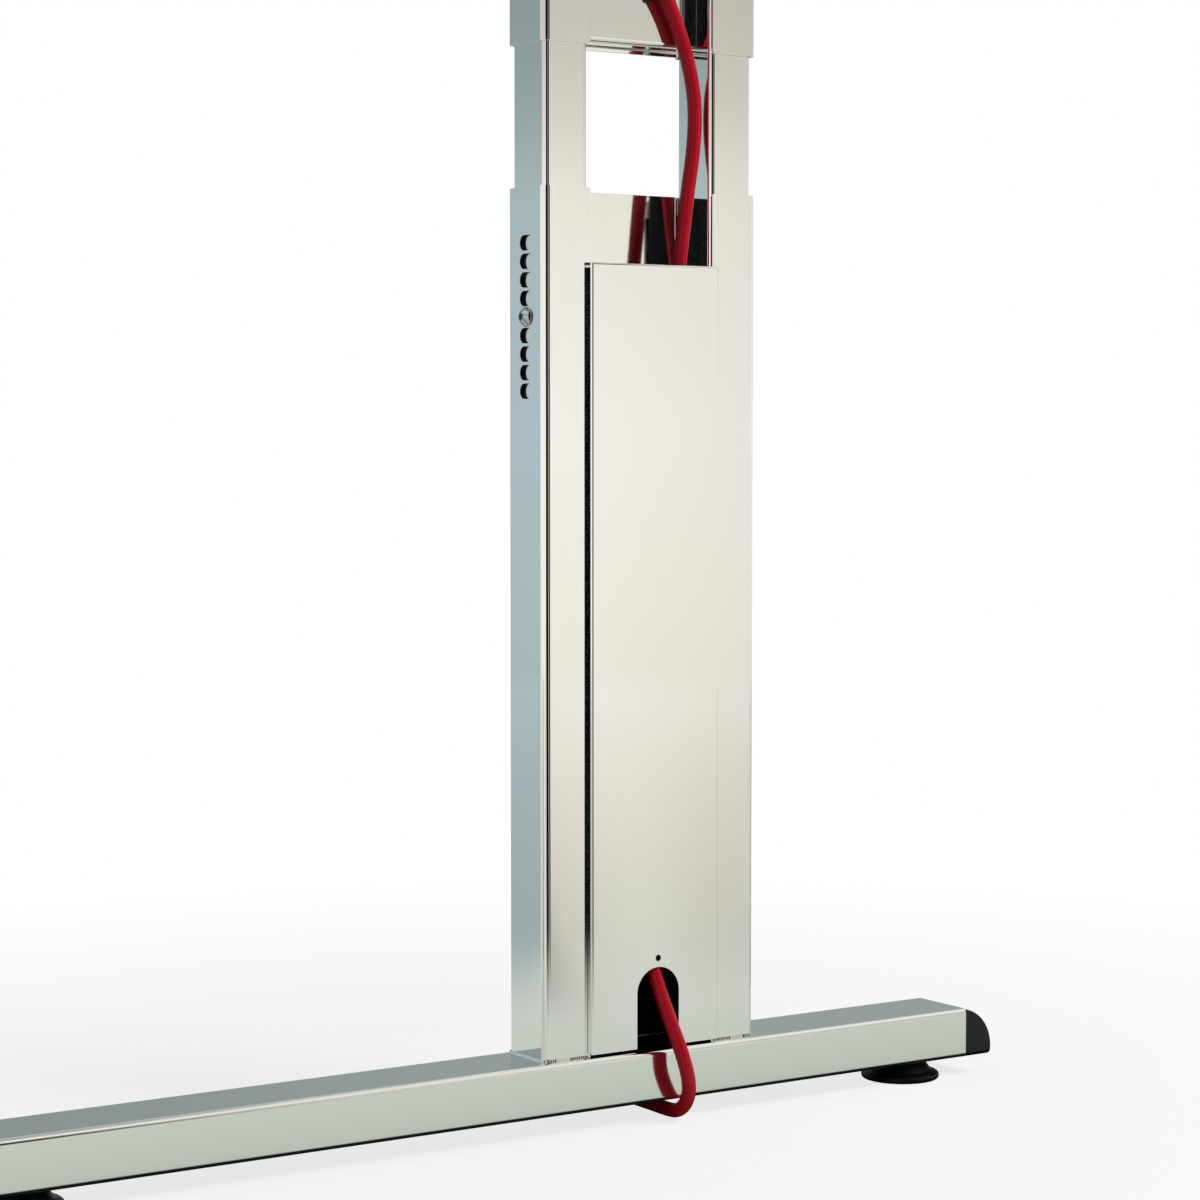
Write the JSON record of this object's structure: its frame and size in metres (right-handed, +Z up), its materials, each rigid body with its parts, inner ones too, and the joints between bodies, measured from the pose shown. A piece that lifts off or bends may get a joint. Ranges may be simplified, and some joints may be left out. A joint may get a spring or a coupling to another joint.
{
  "type": "height-adjustable desk leg column",
  "caption": "Twin-tube telescopic desk leg on a foot beam, with a covered cable duct, clamp screws that hold the height, a head plate and levelling feet.",
  "frame": {"origin": "on the floor, under the middle of the foot beam", "axes": "+X along the foot towards its short rear end, +Y to the back of the column, away from the cover, +Z up"},
  "size_m": [0.662, 0.16, 0.695],
  "materials": {
    "polished_steel": "polished, lightly hazed plating on steel",
    "inner_steel": "polished plating, darker than the outer tubes",
    "zinc_steel": "bright zinc-plated small hardware",
    "black_plastic": "black moulded plastic, satin",
    "cable_jacket": "red cable jacket, satin"
  },
  "bodies": {
    "base": {"foot_beam": "polished_steel", "end_cap_front": "black_plastic", "end_cap_rear": "black_plastic", "leveller_insert_front": "zinc_steel", "leveller_insert_rear": "zinc_steel", "outer_tube_left": "polished_steel", "outer_tube_right": "polished_steel", "duct_channel": "polished_steel", "lock_nut_left": "zinc_steel", "lock_nut_right": "zinc_steel", "cable_upper_run": "cable_jacket", "cable_lower_run": "cable_jacket", "cable_coil": "cable_jacket", "cable_tail": "cable_jacket", "cable_plug": "black_plastic"},
    "lifting_head": {"inner_tube_left": "inner_steel", "inner_tube_right": "inner_steel", "clamp_rail_left": "inner_steel", "clamp_rail_right": "inner_steel", "glide_shoe_left": "black_plastic", "glide_shoe_right": "black_plastic", "upper_collar_left": "polished_steel", "upper_collar_right": "polished_steel", "upper_web": "polished_steel", "head_plate": "polished_steel", "cable_socket": "black_plastic"},
    "cover": {"cover_panel": "polished_steel", "cover_clips": "zinc_steel"},
    "leveller_front_pad": {"leveller_pad_front": "black_plastic"},
    "leveller_front_stud": {"leveller_stud_front": "zinc_steel"},
    "leveller_rear_pad": {"leveller_pad_rear": "black_plastic"},
    "leveller_rear_stud": {"leveller_stud_rear": "zinc_steel"},
    "lock_left_washer": {"lock_washer_left": "zinc_steel"},
    "lock_left_screw": {"lock_screw_left": "zinc_steel"},
    "lock_right_washer": {"lock_washer_right": "zinc_steel"},
    "lock_right_screw": {"lock_screw_right": "zinc_steel"}
  },
  "joints": [
    {"name": "column_lift", "type": "slide", "parent": "base", "child": "lifting_head", "axis": [0, 0, 1], "range_m": [-0.04, 0.04], "deforming": ["cable_upper_run"]},
    {"name": "cover_pull", "type": "slide", "parent": "base", "child": "cover", "axis": [0, -1, 0], "range_m": [0, 0.05]},
    {"name": "leveller_front_feed", "type": "slide", "parent": "base", "child": "leveller_front_pad", "axis": [0, 0, -1], "range_m": [0, 0.012]},
    {"name": "leveller_front_turn", "type": "hinge", "parent": "leveller_front_pad", "child": "leveller_front_stud", "pos_m": [-0.28, 0, 0.02], "axis": [0, 0, -1], "range_deg": [0, 3460]},
    {"name": "leveller_rear_feed", "type": "slide", "parent": "base", "child": "leveller_rear_pad", "axis": [0, 0, -1], "range_m": [0, 0.012]},
    {"name": "leveller_rear_turn", "type": "hinge", "parent": "leveller_rear_pad", "child": "leveller_rear_stud", "pos_m": [0.28, 0, 0.02], "axis": [0, 0, -1], "range_deg": [0, 3460]},
    {"name": "lock_left_back_out", "type": "slide", "parent": "base", "child": "lock_left_washer", "axis": [-1, 0, 0], "range_m": [0, 0.006]},
    {"name": "lock_left_turn", "type": "hinge", "parent": "lock_left_washer", "child": "lock_left_screw", "pos_m": [0.0195, 0.0025, 0.445], "axis": [-1, 0, 0], "range_deg": [0, 2165]},
    {"name": "lock_right_back_out", "type": "slide", "parent": "base", "child": "lock_right_washer", "axis": [1, 0, 0], "range_m": [0, 0.006]},
    {"name": "lock_right_turn", "type": "hinge", "parent": "lock_right_washer", "child": "lock_right_screw", "pos_m": [0.1605, 0.0025, 0.445], "axis": [1, 0, 0], "range_deg": [0, 2165]}
  ],
  "couplings": [
    {"joint": "leveller_front_turn", "follows": "leveller_front_feed", "rad_per_m": 5026.5},
    {"joint": "leveller_rear_turn", "follows": "leveller_rear_feed", "rad_per_m": 5026.5},
    {"joint": "lock_left_turn", "follows": "lock_left_back_out", "rad_per_m": 6283.2},
    {"joint": "lock_right_turn", "follows": "lock_right_back_out", "rad_per_m": 6283.2}
  ]
}
